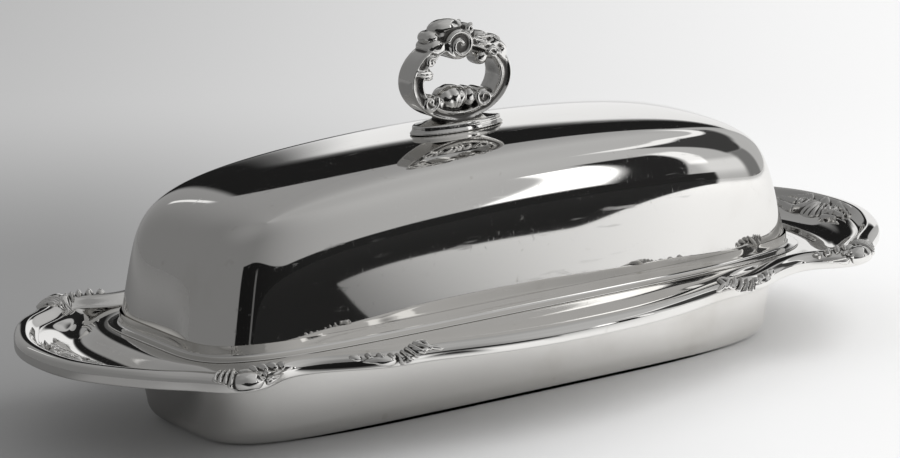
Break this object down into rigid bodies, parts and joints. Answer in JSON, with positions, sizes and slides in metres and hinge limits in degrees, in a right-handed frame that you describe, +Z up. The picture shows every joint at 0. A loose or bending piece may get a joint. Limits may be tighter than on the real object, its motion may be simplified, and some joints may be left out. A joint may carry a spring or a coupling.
{
  "type": "covered butter dish",
  "caption": "Oblong silver-plated butter dish with shell border, glass liner and lift-off domed cover with a scroll ring finial.",
  "frame": {"origin": "centre of the flat bottom of the dish, on the table", "axes": "+X along the dish towards the right handle, +Y across it towards the rear long side, +Z up"},
  "size_m": [0.236, 0.116, 0.0898],
  "materials": {
    "silver_plate": "mirror polished silver plate with faint scratches and tarnish",
    "cast_silver_plate": "silver-plated castings, polished on the high parts and darker in the recesses",
    "clear_glass": "clear pressed glass",
    "brass": "plain turned brass, slightly dull"
  },
  "bodies": {
    "dish": {"dish_pan": "silver_plate", "border_front": "silver_plate", "border_rear": "silver_plate", "handle_rim_left": "silver_plate", "handle_rim_right": "silver_plate", "corner_shell_right_rear": "cast_silver_plate", "corner_shell_left_rear": "cast_silver_plate", "corner_shell_left_front": "cast_silver_plate", "corner_shell_right_front": "cast_silver_plate", "side_scroll_right_rear": "cast_silver_plate", "side_scroll_left_rear": "cast_silver_plate", "side_scroll_left_front": "cast_silver_plate", "side_scroll_right_front": "cast_silver_plate", "tip_shell_left": "cast_silver_plate", "tip_shell_right": "cast_silver_plate"},
    "liner": {"glass_liner": "clear_glass"},
    "cover": {"cover_shell": "silver_plate", "cover_foot_bead": "silver_plate", "finial": "cast_silver_plate", "finial_stud": "brass", "finial_washer": "brass", "finial_nut": "brass"}
  },
  "joints": [
    {"name": "cover_lift", "type": "slide", "parent": "dish", "child": "cover", "axis": [0, 0, 1], "range_m": [0, 0.14]},
    {"name": "liner_lift", "type": "slide", "parent": "dish", "child": "liner", "axis": [0, 0, 1], "range_m": [0, 0.07]}
  ],
  "couplings": [
    {"joint": "liner_lift", "follows": "cover_lift", "ratio": 0.5}
  ]
}
